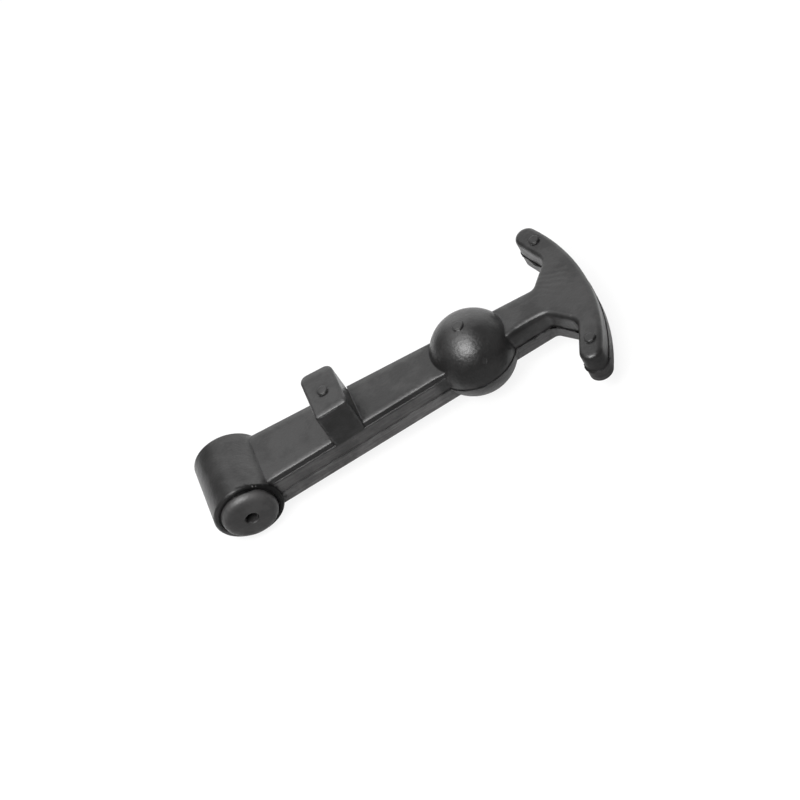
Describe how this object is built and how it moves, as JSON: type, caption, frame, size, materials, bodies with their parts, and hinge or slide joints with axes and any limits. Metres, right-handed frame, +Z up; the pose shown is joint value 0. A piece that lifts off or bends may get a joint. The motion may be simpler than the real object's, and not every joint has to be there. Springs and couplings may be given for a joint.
{
  "type": "rubber t draw latch",
  "caption": "Moulded rubber draw latch: T handle, retaining ball, tapered strap with a finger post, and a bushed barrel for a pivot pin.",
  "frame": {"origin": "centre of the pivot barrel, on its axis, half way along it and half way up the strap", "axes": "+X along the strap from the pivot to the T handle, +Y across the strap along the pivot, +Z up through the finger post"},
  "size_m": [0.125, 0.0562, 0.0296],
  "materials": {
    "rubber": "moulded black rubber, satin",
    "bush": "moulded black plastic, satin"
  },
  "bodies": {
    "root": {"latch_body": "rubber", "near_pivot_bush": "bush", "far_pivot_bush": "bush"}
  },
  "joints": []
}
